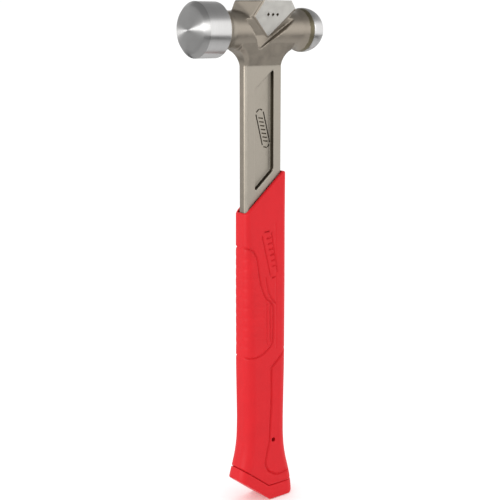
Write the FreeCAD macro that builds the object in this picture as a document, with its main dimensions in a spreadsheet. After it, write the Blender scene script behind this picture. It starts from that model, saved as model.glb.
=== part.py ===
"""Ball peen hammer with a one-piece forged head and neck and a moulded grip.

Millimetres. Z runs up the handle, the head is on top, -X is the striking face
and +X is the peen. The origin is the middle of the flat on the butt, which lies
behind the handle's own axis, so every piece is drawn about that axis and set forward.
"""
import FreeCAD
import Part
import Sketcher
import math
import os

DRIVING_SIZES = {
    "axis_offset": 10.5,
    # head, all heights from the head's own axis
    "head_axis_height": 318.0,
    "face_reach": 57.0,
    "face_diameter": 34.6,
    "face_crown": 1.4,
    "face_bevel": 3.0,
    "barrel_length": 17.0,
    "barrel_back_bevel": 1.4,
    "shoulder_run": 3.2,
    "face_neck_diameter": 24.0,
    "face_neck_end": 11.5,
    "ball_reach": 49.4,
    "ball_diameter": 28.6,
    "peen_neck_diameter": 24.0,
    "peen_neck_start": 11.0,
    "peen_skirt_start": 25.0,
    "peen_skirt_run": 4.6,
    "peen_skirt_drop": 0.45,
    "bar_diameter": 16.0,
    "bar_half_span": 8.0,
    # the cheeks between the two necks
    "cheek_top": 18.4,
    "cheek_front": 17.0,
    "cheek_rear": 16.0,
    "cheek_ridge_drop": 6.0,
    "cheek_top_thickness": 13.0,
    "cheek_side_thickness": 19.8,
    "cheek_waist_thickness": 10.8,
    "cheek_foot": 22.5,
    "flare_run": 1.8,
    "flare_radius": 9.7,
    # the flat diamond panel on each cheek
    "panel_foot": 5.0,
    "panel_front": 14.1,
    "panel_front_height": 8.2,
    "panel_top_front": 8.0,
    "panel_top_rear": 15.0,
    "panel_rear": 19.4,
    "panel_rear_height": 13.4,
    "panel_foot_thickness": 14.8,
    "panel_top_thickness": 27.0,
    "panel_bevel": 1.5,
    # steel neck
    "neck_width": 31.0,
    "neck_thickness": 8.4,
    "neck_bevel": 1.9,
    "slant_angle": 40.0,
    "recess_width": 15.2,
    "recess_depth": 2.8,
    "recess_top_drop": 31.3,
    "recess_length": 65.4,
    "recess_corner": 1.6,
    # tang inside the grip
    "shoulder_height": 196.0,
    "shoulder_step": 5.0,
    "tang_taper": 2.5,
    "tang_end_height": 52.0,
    "lock_hole_diameter": 8.0,
    "lock_hole_height": 84.0,
    "lock_hole_pitch": 44.0,
    # moulded core around the tang
    "core_side_wall": 2.2,
    "core_inset": 1.5,
    "core_corner": 3.0,
    "core_top_drop": 8.0,
    "cap_floor": 4.5,
    # outer grip and butt
    "grip_front_top_height": 201.2,
    "grip_rear_top_height": 226.5,
    "slant_start_cover": 0.3,
    "seam_height": 10.2,
    "seam_vertex": 0.6,
    "seam_gap": 0.4,
    "butt_slant_angle": 37.0,
    "butt_flat_start": 1.6,
    "butt_corner": 4.5,
    "cord_hole_diameter": 3.2,
    "cord_hole_offset": 4.8,
    "cord_hole_height": 42.7,
}

# Grip sections from the butt up: name, height, then the covers over the neck's front edge,
# rear edge and broad side, then the corner radius.
GRIP_SECTIONS = [
    ("butt", 0.0, 9.5, 8.5, 5.8, 7.0),
    ("flare", 17.0, 7.9, 6.3, 5.5, 7.0),
    ("heel", 30.0, 4.0, 2.8, 5.1, 7.0),
    ("waist", 42.0, 1.6, 1.5, 4.8, 7.0),
    ("palm", 58.0, 1.0, 1.4, 4.8, 7.0),
    ("swell", 95.0, 1.7, 2.2, 4.8, 7.0),
    ("fingers", 150.0, 1.7, 2.2, 4.0, 5.6),
    ("thumb", 200.0, 1.7, 2.3, 2.4, 3.6),
    ("collar", 230.0, 1.7, 2.5, 2.2, 3.4),
]

SECTION_SIZES = ("height", "front_cover", "rear_cover", "side_cover", "corner")
LOCK_HOLES = 3
CORNER_STEPS = 6

# Sketcher's own numbers for the origin and for the ends of a line.
ORIGIN_GEOMETRY = -1
ORIGIN_POINT = 1
LINE_START = 1
LINE_END = 2
CIRCLE_CENTRE = 3

# How far cutting sketches reach past the solid that they cut.
MARGIN = 10.0
PLACE_TOLERANCE = 0.02

# The share of its length that a straight edge needs along an axis to count as running along it.
ALONG = 0.9

# The face's crown is drawn through one point midway to the rim, a quarter of the crown down.
MIDWAY = 0.5
MIDWAY_DROP = 0.25


class Size:
    """A length that keeps its value beside the sheet expression that gives it."""

    def __init__(self, value, text):
        self.value = value
        self.text = text

    def __add__(self, other):
        other = as_size(other)
        return Size(self.value + other.value, "(%s + %s)" % (self.text, other.text))

    def __sub__(self, other):
        other = as_size(other)
        return Size(self.value - other.value, "(%s - %s)" % (self.text, other.text))

    def __mul__(self, other):
        other = as_size(other)
        return Size(self.value * other.value, "(%s * %s)" % (self.text, other.text))

    def __truediv__(self, other):
        other = as_size(other)
        return Size(self.value / other.value, "(%s / %s)" % (self.text, other.text))

    def __neg__(self):
        return Size(-self.value, "(0 - %s)" % self.text)


def as_size(number):
    """Wrap a plain number so that it mixes with sizes."""
    return number if isinstance(number, Size) else Size(float(number), repr(float(number)))


def tangent(angle):
    """Give the tangent of a size in degrees."""
    return Size(math.tan(math.radians(angle.value)), "tan(%s * 1 deg)" % angle.text)


def make_sheet(document):
    """Write every driving size to a spreadsheet, each under its own alias."""
    sheet = document.addObject("Spreadsheet::Sheet", "sizes")
    for row, (alias, value) in enumerate(all_sizes().items(), start=1):
        sheet.set("A%d" % row, alias)
        sheet.set("B%d" % row, str(value))
        sheet.setAlias("B%d" % row, alias)
    document.recompute()
    return sheet


def all_sizes():
    """Join the driving sizes and the sizes of every grip section."""
    sizes = dict(DRIVING_SIZES)
    for name, *values in GRIP_SECTIONS:
        for kind, value in zip(SECTION_SIZES, values):
            sizes["%s_%s" % (name, kind)] = value
    return sizes


def get(alias):
    """Give one size from the sheet."""
    sheet = FreeCAD.ActiveDocument.getObject("sizes")
    return Size(float(sheet.get(alias)), "sizes." + alias)


# Sketches


def new_body(document, name):
    """Start a body that carries its own label."""
    body = document.addObject("PartDesign::Body", name)
    body.Label = name
    body.setExpression("Placement.Base.x", (-get("axis_offset")).text)
    return body


def new_sketch(body, name, plane, shift=None):
    """Put a sketch on one of the body's origin planes, moved along the plane's own axes."""
    sketch = body.newObject("Sketcher::SketchObject", name)
    for feature in body.Origin.OriginFeatures:
        if feature.Role == plane:
            sketch.AttachmentSupport = (feature, "")
    sketch.MapMode = "FlatFace"
    for axis, length in (shift or {}).items():
        sketch.setExpression("AttachmentOffset.Base." + axis, length.text)
    return sketch


def place_point(sketch, line, end, point):
    """Hold one end of a line at a point given by two sizes."""
    for kind, length in (("DistanceX", point[0]), ("DistanceY", point[1])):
        number = sketch.addConstraint(
            Sketcher.Constraint(kind, ORIGIN_GEOMETRY, ORIGIN_POINT, line, end, length.value)
        )
        sketch.setExpression("Constraints[%d]" % number, length.text)


def draw_outline(sketch, points):
    """Draw a closed outline of straight lines with every corner held by sizes."""
    points = [(as_size(across), as_size(up)) for across, up in points]
    first = sketch.GeometryCount
    count = len(points)
    for index, start in enumerate(points):
        end = points[(index + 1) % count]
        sketch.addGeometry(Part.LineSegment(flat_vector(start), flat_vector(end)), False)
    for index, start in enumerate(points):
        following = first + (index + 1) % count
        joint = Sketcher.Constraint("Coincident", first + index, LINE_END, following, LINE_START)
        sketch.addConstraint(joint)
        place_point(sketch, first + index, LINE_START, start)


def draw_circle(sketch, centre, diameter):
    """Draw a circle held by its centre and diameter."""
    shape = Part.Circle(flat_vector(centre), FreeCAD.Vector(0, 0, 1), diameter.value / 2)
    circle = sketch.addGeometry(shape, False)
    place_point(sketch, circle, CIRCLE_CENTRE, centre)
    number = sketch.addConstraint(Sketcher.Constraint("Diameter", circle, diameter.value))
    sketch.setExpression("Constraints[%d]" % number, diameter.text)


def draw_rounded_box(sketch, front, rear, thickness, corner):
    """Draw a rounded rectangle from -front to rear, centred across its thickness."""
    half = thickness / 2
    left, right, low, high, round_ = -front.value, rear.value, -half.value, half.value, corner.value
    straight = [
        ((left + round_, low), (right - round_, low)),
        ((right, low + round_), (right, high - round_)),
        ((right - round_, high), (left + round_, high)),
        ((left, high - round_), (left, low + round_)),
    ]
    centres = [
        (right - round_, low + round_, -90),
        (right - round_, high - round_, 0),
        (left + round_, high - round_, 90),
        (left + round_, low + round_, 180),
    ]
    for start, end in straight:
        sketch.addGeometry(Part.LineSegment(FreeCAD.Vector(*start), FreeCAD.Vector(*end)), False)
    for across, up, angle in centres:
        circle = Part.Circle(FreeCAD.Vector(across, up, 0), FreeCAD.Vector(0, 0, 1), round_)
        arc = Part.ArcOfCircle(circle, math.radians(angle), math.radians(angle + 90))
        sketch.addGeometry(arc, False)
    for side in range(4):
        arc = 4 + side
        sketch.addConstraint(Sketcher.Constraint("Tangent", side, LINE_END, arc, LINE_START))
        sketch.addConstraint(Sketcher.Constraint("Tangent", arc, LINE_END, (side + 1) % 4, LINE_START))
    for side, kind in enumerate(("Horizontal", "Vertical", "Horizontal", "Vertical")):
        sketch.addConstraint(Sketcher.Constraint(kind, side))
    for arc in (5, 6, 7):
        sketch.addConstraint(Sketcher.Constraint("Equal", 4, arc))
    radius = sketch.addConstraint(Sketcher.Constraint("Radius", 4, corner.value))
    sketch.setExpression("Constraints[%d]" % radius, corner.text)
    held = (
        ("DistanceX", 1, rear),
        ("DistanceX", 3, -front),
        ("DistanceY", 0, -half),
        ("DistanceY", 2, half),
    )
    for kind, side, length in held:
        number = sketch.addConstraint(
            Sketcher.Constraint(kind, ORIGIN_GEOMETRY, ORIGIN_POINT, side, LINE_START, length.value)
        )
        sketch.setExpression("Constraints[%d]" % number, length.text)


def flat_vector(point):
    """Turn a pair of sizes into a sketch vector."""
    return FreeCAD.Vector(point[0].value, point[1].value, 0)


# Features


def pad(body, sketch, name, length):
    """Pad a sketch equally to both sides of its plane."""
    feature = body.newObject("PartDesign::Pad", name)
    feature.Profile = sketch
    feature.SideType = "Symmetric"
    feature.setExpression("Length", length.text)
    sketch.Visibility = False
    FreeCAD.ActiveDocument.recompute()
    return feature


def cut_through(body, sketch, name):
    """Cut a sketch through everything, to both sides of its plane."""
    feature = body.newObject("PartDesign::Pocket", name)
    feature.Profile = sketch
    feature.SideType = "Symmetric"
    feature.Type = "ThroughAll"
    sketch.Visibility = False
    FreeCAD.ActiveDocument.recompute()
    return feature


def edges_where(feature, test):
    """Name the feature's edges whose middle point and direction pass a test."""
    names = []
    for number, edge in enumerate(feature.Shape.Edges, start=1):
        start, end = edge.firstVertex().Point, edge.lastVertex().Point
        run = (end - start).normalize() if edge.Length and (end - start).Length else None
        if run and test((start + end) * 0.5, run):
            names.append("Edge%d" % number)
    return names


def near(value, target):
    """Tell whether two lengths agree."""
    return abs(value - target) < PLACE_TOLERANCE


def dress(body, kind, name, base, names, field, length):
    """Add a fillet or a chamfer on named edges of the base feature."""
    feature = body.newObject("PartDesign::" + kind, name)
    feature.Base = (base, names)
    feature.setExpression(field, length.text)
    FreeCAD.ActiveDocument.recompute()
    return feature


# The forging: head, neck and tang in one piece


def draw_web(body):
    """Pad the side outline of the cheeks, the neck and the tang."""
    axis = get("head_axis_height")
    half = get("neck_width") / 2
    shoulder = get("shoulder_height")
    tang_top = half - get("shoulder_step")
    tang_end = tang_top - get("tang_taper")
    reach = half + get("flare_radius") + get("flare_run")
    under = axis - get("face_neck_diameter") / 2
    top = axis + get("cheek_top")
    front = -get("cheek_front")
    sketch = new_sketch(body, "web_outline", "XZ_Plane")
    draw_outline(sketch, [
        (-tang_end, get("tang_end_height")),
        (tang_end, get("tang_end_height")),
        (tang_top, shoulder - get("shoulder_step")),
        (half, shoulder),
        (half, under),
        (reach, under),
        (reach, under + get("panel_foot")),
        (get("cheek_rear"), under + get("panel_foot")),
        (get("cheek_rear"), top),
        (front, top),
        (front, under + get("panel_foot")),
        (-reach, under + get("panel_foot")),
        (-reach, under),
        (-half, under),
        (-half, shoulder),
        (-tang_top, shoulder - get("shoulder_step")),
    ])
    return pad(body, sketch, "web", get("panel_top_thickness"))


def cut_web_sides(body):
    """Cut the web to the neck's thickness and the cheeks to their roof shape."""
    axis = get("head_axis_height")
    neck = get("neck_thickness") / 2
    side = get("cheek_side_thickness") / 2
    roof = get("cheek_top_thickness") / 2
    waist = get("cheek_waist_thickness") / 2
    foot = axis - get("cheek_foot")
    waist_height = axis - get("panel_foot")
    ridge = axis + get("cheek_top") - get("cheek_ridge_drop")
    top = axis + get("cheek_top")
    beyond = get("panel_top_thickness")
    for name, sign in (("near", -1.0), ("far", 1.0)):
        sketch = new_sketch(body, name + "_side_profile", "YZ_Plane")
        draw_outline(sketch, [
            (neck * sign, as_size(0.0) - MARGIN),
            (neck * sign, foot),
            (waist * sign, waist_height),
            (side * sign, ridge),
            (roof * sign, top),
            (roof * sign, top + MARGIN),
            (beyond * sign, top + MARGIN),
            (beyond * sign, as_size(0.0) - MARGIN),
        ])
        feature = cut_through(body, sketch, name + "_side_cut")
    return feature


def add_panels(body):
    """Add the diamond panel on both cheeks, leaning outward to the top."""
    axis = get("head_axis_height")
    top = axis + get("cheek_top")
    sketch = new_sketch(body, "panel_outline", "XZ_Plane")
    draw_outline(sketch, [
        (as_size(0.0), axis - get("panel_foot")),
        (get("panel_rear"), axis + get("panel_rear_height")),
        (get("panel_top_rear"), top),
        (-get("panel_top_front"), top),
        (-get("panel_front"), axis + get("panel_front_height")),
    ])
    pad(body, sketch, "panel_block", get("panel_top_thickness"))
    low = axis - get("panel_foot")
    thin = get("panel_foot_thickness") / 2
    thick = get("panel_top_thickness") / 2
    for name, sign in (("near", -1.0), ("far", 1.0)):
        sketch = new_sketch(body, name + "_lean_profile", "YZ_Plane")
        draw_outline(sketch, [
            (thin * sign, low),
            (thick * sign, top),
            ((thick + MARGIN) * sign, top),
            ((thick + MARGIN) * sign, low),
        ])
        feature = cut_through(body, sketch, name + "_lean_cut")
    return feature


def bevel_panels(body, base):
    """Bevel the lower edges of both diamond panels."""
    axis = get("head_axis_height").value
    low = axis - get("panel_foot").value
    top = axis + get("cheek_top").value
    thin = get("panel_foot_thickness").value / 2
    thick = get("panel_top_thickness").value / 2

    def on_lean(point, run):
        lean = thin + (thick - thin) * (point.z - low) / (top - low)
        return near(abs(point.y), lean) and point.z < top - PLACE_TOLERANCE

    return dress(body, "Chamfer", "panel_bevels", base, edges_where(base, on_lean), "Size", get("panel_bevel"))


def round_flares(body, base):
    """Round the corners where the neck runs out into the head."""
    half = get("neck_width").value / 2
    under = get("head_axis_height").value - get("face_neck_diameter").value / 2

    def at_corner(point, run):
        return abs(run.y) > ALONG and near(abs(point.x), half) and near(point.z, under)

    names = edges_where(base, at_corner)
    return dress(body, "Fillet", "flares", base, names, "Radius", get("flare_radius"))


def bevel_neck(body):
    """Bevel the four long edges of the steel neck up to where it flares."""
    half = get("neck_width") / 2
    thin = get("neck_thickness") / 2
    bevel = get("neck_bevel")
    shoulder = get("shoulder_height")
    flare = get("head_axis_height") - get("face_neck_diameter") / 2 - get("flare_radius")
    sketch = new_sketch(body, "neck_bevel_corners", "XY_Plane", {"z": shoulder})
    for across in (-1.0, 1.0):
        for side in (-1.0, 1.0):
            draw_outline(sketch, [
                (half * across, thin * side),
                ((half - bevel) * across, thin * side),
                (half * across, (thin - bevel) * side),
            ])
    feature = body.newObject("PartDesign::Pocket", "neck_bevels")
    feature.Profile = sketch
    feature.setExpression("Length", (flare - shoulder).text)
    feature.Reversed = True
    sketch.Visibility = False
    FreeCAD.ActiveDocument.recompute()
    return feature


def cut_recesses(body):
    """Cut the slanted recess into both faces of the neck."""
    half = get("recess_width") / 2
    rise = get("recess_width") * tangent(get("slant_angle"))
    top = get("head_axis_height") - get("recess_top_drop")
    low = top - get("recess_length")
    floor = get("neck_thickness") / 2 - get("recess_depth")
    corners = [
        (-half, top - rise / 2),
        (-half, low - rise / 2),
        (half, low + rise / 2),
        (half, top + rise / 2),
    ]
    for name, sign in (("near", 1.0), ("far", -1.0)):
        sketch = new_sketch(body, name + "_recess_outline", "XZ_Plane", {"z": floor * sign})
        draw_outline(sketch, corners)
        feature = body.newObject("PartDesign::Pocket", name + "_recess")
        feature.Profile = sketch
        feature.setExpression("Length", (get("recess_depth") + MARGIN).text)
        feature.Reversed = sign > 0
        sketch.Visibility = False
        FreeCAD.ActiveDocument.recompute()
    wall = half.value

    def recess_corner(point, run):
        deep = abs(point.y) < get("neck_thickness").value / 2
        return abs(run.y) > ALONG and near(abs(point.x), wall) and deep

    names = edges_where(feature, recess_corner)
    return dress(body, "Fillet", "recess_corners", feature, names, "Radius", get("recess_corner"))


def cut_lock_holes(body):
    """Cut the holes in the tang that the moulded core fills."""
    sketch = new_sketch(body, "lock_hole_circles", "XZ_Plane")
    for index in range(LOCK_HOLES):
        height = get("lock_hole_height") + get("lock_hole_pitch") * index
        draw_circle(sketch, (as_size(0.0), height), get("lock_hole_diameter"))
    return cut_through(body, sketch, "lock_holes")


def turn_head(body):
    """Revolve the barrel, the two necks and the bar between them about the head's axis."""
    axis = get("head_axis_height")
    face = -get("face_reach")
    radius = get("face_diameter") / 2
    rim = face + get("face_crown") + get("face_bevel")
    back = rim + get("barrel_length")
    bevel = get("barrel_back_bevel")
    neck = get("face_neck_diameter") / 2
    ball = get("ball_diameter") / 2
    ball_centre = get("ball_reach") - ball
    peen_neck = get("peen_neck_diameter") / 2
    skirt = get("peen_skirt_start")
    bar = get("bar_diameter") / 2
    sketch = new_sketch(body, "head_profile", "XZ_Plane", {"y": axis})
    draw_outline(sketch, [
        (face, as_size(0.0)),
        (face + get("face_crown") * MIDWAY_DROP, (radius - get("face_bevel")) * MIDWAY),
        (face + get("face_crown"), radius - get("face_bevel")),
        (rim, radius),
        (back - bevel, radius),
        (back, radius - bevel),
        (back + get("shoulder_run"), neck),
        (-get("face_neck_end"), neck),
        (-get("bar_half_span"), bar),
        (get("bar_half_span"), bar),
        (get("peen_neck_start"), peen_neck),
        (skirt, peen_neck),
        (skirt + get("peen_skirt_run"), ball - get("peen_skirt_drop")),
        (ball_centre, ball),
        (ball_centre, as_size(0.0)),
    ])
    feature = body.newObject("PartDesign::Revolution", "turned_head")
    feature.Profile = sketch
    feature.ReferenceAxis = (sketch, ["H_Axis"])
    feature.Angle = 360.0
    sketch.Visibility = False
    FreeCAD.ActiveDocument.recompute()
    return feature


def add_ball(body):
    """Add the ball of the peen."""
    feature = body.newObject("PartDesign::AdditiveSphere", "peen_ball")
    for origin in body.Origin.OriginFeatures:
        if origin.Role == "XY_Plane":
            feature.AttachmentSupport = (origin, "")
    feature.MapMode = "FlatFace"
    feature.setExpression("Radius", (get("ball_diameter") / 2).text)
    centre = get("ball_reach") - get("ball_diameter") / 2
    feature.setExpression("AttachmentOffset.Base.x", centre.text)
    feature.setExpression("AttachmentOffset.Base.z", get("head_axis_height").text)
    FreeCAD.ActiveDocument.recompute()
    return feature


def build_forging(document):
    """Build the head, the neck and the tang as one forging."""
    body = new_body(document, "hammer_forging")
    base = draw_web(body)
    base = round_flares(body, base)
    cut_web_sides(body)
    bevel_neck(body)
    base = add_panels(body)
    bevel_panels(body, base)
    cut_recesses(body)
    cut_lock_holes(body)
    turn_head(body)
    add_ball(body)
    return body


# Moulded pieces


def reaches(name):
    """Give how far a grip section reaches to the front and to the rear."""
    half = get("neck_width") / 2
    return half + get(name + "_front_cover"), half + get(name + "_rear_cover")


def loft_grip(body, prefix):
    """Loft the outer shape of the handle through its sections."""
    sketches = []
    for name, *_ in GRIP_SECTIONS:
        height = get(name + "_height")
        sketch = new_sketch(body, "%s_%s" % (prefix, name), "XY_Plane", {"z": height})
        front, rear = reaches(name)
        thickness = get("neck_thickness") + get(name + "_side_cover") * 2
        draw_rounded_box(sketch, front, rear, thickness, get(name + "_corner"))
        sketch.Visibility = False
        sketches.append(sketch)
    FreeCAD.ActiveDocument.recompute()
    loft = body.newObject("PartDesign::AdditiveLoft", prefix + "_loft")
    loft.Profile = sketches[0]
    loft.Sections = sketches[1:]
    loft.Ruled = True
    FreeCAD.ActiveDocument.recompute()
    return loft


def slant_rise(start, end, angle):
    """Give the height that a slanted line gains between two reaches."""
    return (end - start) * tangent(angle)


def cut_seam_side(body, prefix, height, vertex, keep_above):
    """Cut the handle along the bent line of the seam and keep one side of it."""
    front, rear = reaches("butt")
    reach = front + MARGIN
    rear = rear + MARGIN
    rise = slant_rise(-vertex, reach, get("butt_slant_angle"))
    away = as_size(0.0) - MARGIN if keep_above else get("collar_height") + MARGIN
    sketch = new_sketch(body, prefix + "_seam_outline", "XZ_Plane")
    draw_outline(sketch, [
        (-reach, height + rise),
        (vertex, height),
        (rear, height),
        (rear, away),
        (-reach, away),
    ])
    return cut_through(body, sketch, prefix + "_seam_cut")


def build_grip_blank(document):
    """Build the outer grip before the inner pieces are taken out of it."""
    body = new_body(document, "grip_blank")
    loft_grip(body, "grip")
    start = get("neck_width") / 2 + get("slant_start_cover")
    front_top = get("grip_front_top_height")
    front, rear = reaches("collar")
    reach = front + MARGIN
    rear = rear + MARGIN
    rear_top = get("grip_rear_top_height")
    tip = (rear_top - front_top) / tangent(get("slant_angle")) - start
    sketch = new_sketch(body, "grip_top_outline", "XZ_Plane")
    draw_outline(sketch, [
        (-reach, front_top),
        (-start, front_top),
        (tip, rear_top),
        (rear, rear_top),
        (rear, rear_top + MARGIN),
        (-reach, rear_top + MARGIN),
    ])
    cut_through(body, sketch, "grip_top_cut")
    cut_seam_side(body, "grip", get("seam_height") + get("seam_gap"), get("seam_vertex"), True)
    return body


def build_cap_blank(document):
    """Build the butt cap before the core is taken out of it."""
    body = new_body(document, "cap_blank")
    loft_grip(body, "cap")
    cut_seam_side(body, "cap_top", get("seam_height"), get("seam_vertex"), False)
    cut_seam_side(body, "cap_end", as_size(0.0), get("butt_flat_start"), True)
    round_butt(body)
    return body


def round_butt(body):
    """Round the rear corner of the butt."""
    radius = get("butt_corner")
    rear = reaches("butt")[1]
    outline = [(rear + MARGIN, as_size(0.0) - MARGIN), (rear + MARGIN, radius)]
    for step in range(CORNER_STEPS + 1):
        turn = math.radians(90.0 * step / CORNER_STEPS)
        across = rear - radius * (1 - math.cos(turn))
        up = radius * (1 - math.sin(turn))
        outline.append((across, up))
    outline.append((rear - radius, as_size(0.0) - MARGIN))
    sketch = new_sketch(body, "butt_corner_outline", "XZ_Plane")
    draw_outline(sketch, outline)
    return cut_through(body, sketch, "butt_corner")


def build_core_blank(document):
    """Build the moulded core before the tang is taken out of it."""
    body = new_body(document, "core_blank")
    half = get("neck_width") / 2 - get("core_inset")
    thickness = get("neck_thickness") + get("core_side_wall") * 2
    sketch = new_sketch(body, "core_section", "XY_Plane")
    draw_rounded_box(sketch, half, half, thickness, get("core_corner"))
    feature = body.newObject("PartDesign::Pad", "core_pad")
    feature.Profile = sketch
    feature.setExpression("Length", (get("shoulder_height") - get("core_top_drop")).text)
    sketch.Visibility = False
    document.recompute()
    cut_seam_side(body, "core", get("cap_floor"), get("butt_flat_start"), True)
    return body


def make_cord_drill(document):
    """Make the cylinder that drills the cord hole across the handle."""
    drill = document.addObject("Part::Cylinder", "cord_drill")
    span = (get("neck_thickness") + get("butt_side_cover") * 2) * 2
    drill.setExpression("Radius", (get("cord_hole_diameter") / 2).text)
    drill.setExpression("Height", span.text)
    drill.Placement.Rotation = FreeCAD.Rotation(FreeCAD.Vector(1, 0, 0), 90)
    drill.setExpression("Placement.Base.x", (get("cord_hole_offset") - get("axis_offset")).text)
    drill.setExpression("Placement.Base.y", (span / 2).text)
    drill.setExpression("Placement.Base.z", get("cord_hole_height").text)
    return drill


def cut_piece(document, name, base, tools):
    """Take other solids out of a blank and name the result."""
    tool = tools[0]
    if len(tools) > 1:
        tool = document.addObject("Part::MultiFuse", name + "_tools")
        tool.Shapes = tools
    piece = document.addObject("Part::Cut", name)
    piece.Base = base
    piece.Tool = tool
    piece.Label = name
    document.recompute()
    return piece


def check_pieces(document, pieces):
    """Stop when any object failed or any piece isn't one valid solid."""
    for item in document.Objects:
        if "Invalid" in item.State or "Error" in item.State:
            raise RuntimeError("%s failed: %s" % (item.Label, item.State))
    for piece in pieces:
        shape = piece.Shape
        if shape.isNull() or not shape.isValid() or len(shape.Solids) != 1:
            raise RuntimeError("%s isn't one valid solid" % piece.Label)


def main():
    """Build the hammer and write each piece to its own file."""
    document = FreeCAD.newDocument("ball_peen_hammer")
    make_sheet(document)
    forging = build_forging(document)
    core_blank = build_core_blank(document)
    grip_blank = build_grip_blank(document)
    cap_blank = build_cap_blank(document)
    drill = make_cord_drill(document)
    grip_core = cut_piece(document, "grip_core", core_blank, [forging, drill])
    soft_grip = cut_piece(document, "soft_grip", grip_blank, [core_blank, forging, drill])
    butt_cap = cut_piece(document, "butt_cap", cap_blank, [core_blank])
    pieces = [forging, grip_core, soft_grip, butt_cap]
    document.recompute()
    check_pieces(document, pieces)
    os.makedirs("parts", exist_ok=True)
    for piece in pieces:
        piece.Shape.exportStep("parts/%s.step" % piece.Label)
        print(piece.Label, round(piece.Shape.Volume), "cubic mm")


main()
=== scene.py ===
"""Ball peen hammer: one forging with a moulded grip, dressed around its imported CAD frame.

Shapes are written in millimetres about the handle's own axis and brought into the frame,
which is in metres with its origin in the middle of the flat on the butt.
"""

import math

import bpy
from bpy.props import FloatProperty, FloatVectorProperty, PointerProperty
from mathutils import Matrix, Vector


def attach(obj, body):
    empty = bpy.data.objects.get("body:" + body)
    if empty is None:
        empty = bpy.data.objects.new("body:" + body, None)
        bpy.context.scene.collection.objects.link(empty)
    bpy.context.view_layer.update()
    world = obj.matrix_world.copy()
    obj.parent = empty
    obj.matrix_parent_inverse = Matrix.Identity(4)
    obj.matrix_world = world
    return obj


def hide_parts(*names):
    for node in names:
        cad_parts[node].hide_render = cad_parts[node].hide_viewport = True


bl_info = {
    "name": "Ball Peen Hammer",
    "version": (1, 0, 0),
    "blender": (4, 5, 0),
    "location": "3D View > Sidebar > Hammer",
    "description": "Builds a one-piece forged ball peen hammer with a moulded grip",
    "category": "Add Mesh",
}

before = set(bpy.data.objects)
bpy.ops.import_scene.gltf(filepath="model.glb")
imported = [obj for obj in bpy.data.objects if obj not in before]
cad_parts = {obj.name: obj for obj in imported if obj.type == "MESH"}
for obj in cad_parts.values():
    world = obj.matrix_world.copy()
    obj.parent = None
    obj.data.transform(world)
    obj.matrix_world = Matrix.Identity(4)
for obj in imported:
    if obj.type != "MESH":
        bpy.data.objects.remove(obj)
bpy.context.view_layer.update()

MM = 0.001
REACH = 30.0  # Half the length of a block that is cut down later.

# The handle's axis, the head's axis, and the steel neck.
AXIS_X = -10.5
HEAD_Z = 318.0
NECK_HALF_WIDTH = 15.5
NECK_HALF_THICKNESS = 4.2
NECK_FOOT = 186.0
NECK_EDGE = 1.9
SLANT = math.tan(math.radians(40.0))
RECESS_MIDDLE = HEAD_Z - 64.0
RECESS_LENGTH = 65.4
RECESS_HALF_WIDTH = 7.6
RECESS_FLOOR = NECK_HALF_THICKNESS - 2.8
RECESS_CORNER = 1.6

# The head along its own axis, and the web and flare under it.
FACE_X = -57.0
FACE_RADIUS = 14.3
FACE_CROWN = 1.4
BARREL_RADIUS = 17.3
BARREL_REAR = -35.6
ROUND_RADIUS = 12.0
DARK_RING_X = 31.0
BALL_X = 35.1
BALL_RADIUS = 14.3
FLARE_RADIUS = 9.7
WEB_FRONT, WEB_REAR, WEB_TOP = -17.0, 16.0, HEAD_Z + 2.0

# The cheeks and their leaning panels, as (across, up from the head's axis).
CHEEK_TOP = 18.4
PANEL_LOW = -5.0
PANEL = ((0.0, PANEL_LOW), (19.4, 13.4), (15.0, CHEEK_TOP), (-8.0, CHEEK_TOP), (-14.1, 8.2))
PANEL_FOOT_DEEP, PANEL_TOP_DEEP = 7.4, 13.5
PANEL_EDGE = 0.7
PANEL_STEP = 0.9
CHEEK_EDGE = ((-15.2, 8.3), (-8.9, CHEEK_TOP), (15.5, CHEEK_TOP), (20.2, 12.9), (0.0, -6.0))
CHEEK_RIDGE = ((-24.6, 10.0), (-20.7, CHEEK_TOP), (18.0, CHEEK_TOP), (22.0, 10.0))
PAD = ((-20.1, 6.1), (-6.6, -11.8), (22.9, 8.8), (26.0, 20.5), (-8.0, 20.5), (-15.0, 8.5))
PAD_DEEP = 6.9

# The tang, as half an outline, and the holes that the core fills.
TANG = [(8.0, 52.0), (10.5, 191.0), (15.4, 195.9)]
TANG_HALF_THICKNESS = 4.1
LOCK_HOLE_HEIGHTS = (84.0, 128.0, 172.0)
LOCK_HOLE_RADIUS = 4.0

# Grip sections from the butt up: height, front cover, rear cover, side cover, corner radius.
GRIP_SECTIONS = (
    (0.0, 9.5, 8.5, 5.8, 7.0),
    (10.0, 9.0, 7.7, 5.7, 7.0),
    (17.0, 7.9, 6.3, 5.5, 7.0),
    (30.0, 4.0, 2.8, 5.1, 7.0),
    (42.0, 1.6, 1.5, 4.8, 7.0),
    (58.0, 1.0, 1.4, 4.8, 7.0),
    (95.0, 1.7, 2.2, 4.8, 7.0),
    (150.0, 1.7, 2.2, 4.0, 5.6),
    (200.0, 1.7, 2.3, 2.4, 3.6),
    (230.0, 1.7, 2.5, 2.2, 3.4),
)
GRIP_FRONT_TOP, GRIP_REAR_TOP = 201.2, 226.5
GRIP_SLANT_START = -15.8
GRIP_SECTION_TOP = 229.0
CORD_HOLE = (4.8, 42.7)
CORD_HOLE_RADIUS = 1.6

# Sections inside the grip: front reach, rear reach, half thickness, corner radius.
CORE_SECTION = (14.0, 14.0, 6.4, 3.0)
CORE_TOP = 188.0
SOCKET_SECTION = (NECK_HALF_WIDTH + 0.5, NECK_HALF_WIDTH + 0.5, NECK_HALF_THICKNESS + 0.5, 1.8)

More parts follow.
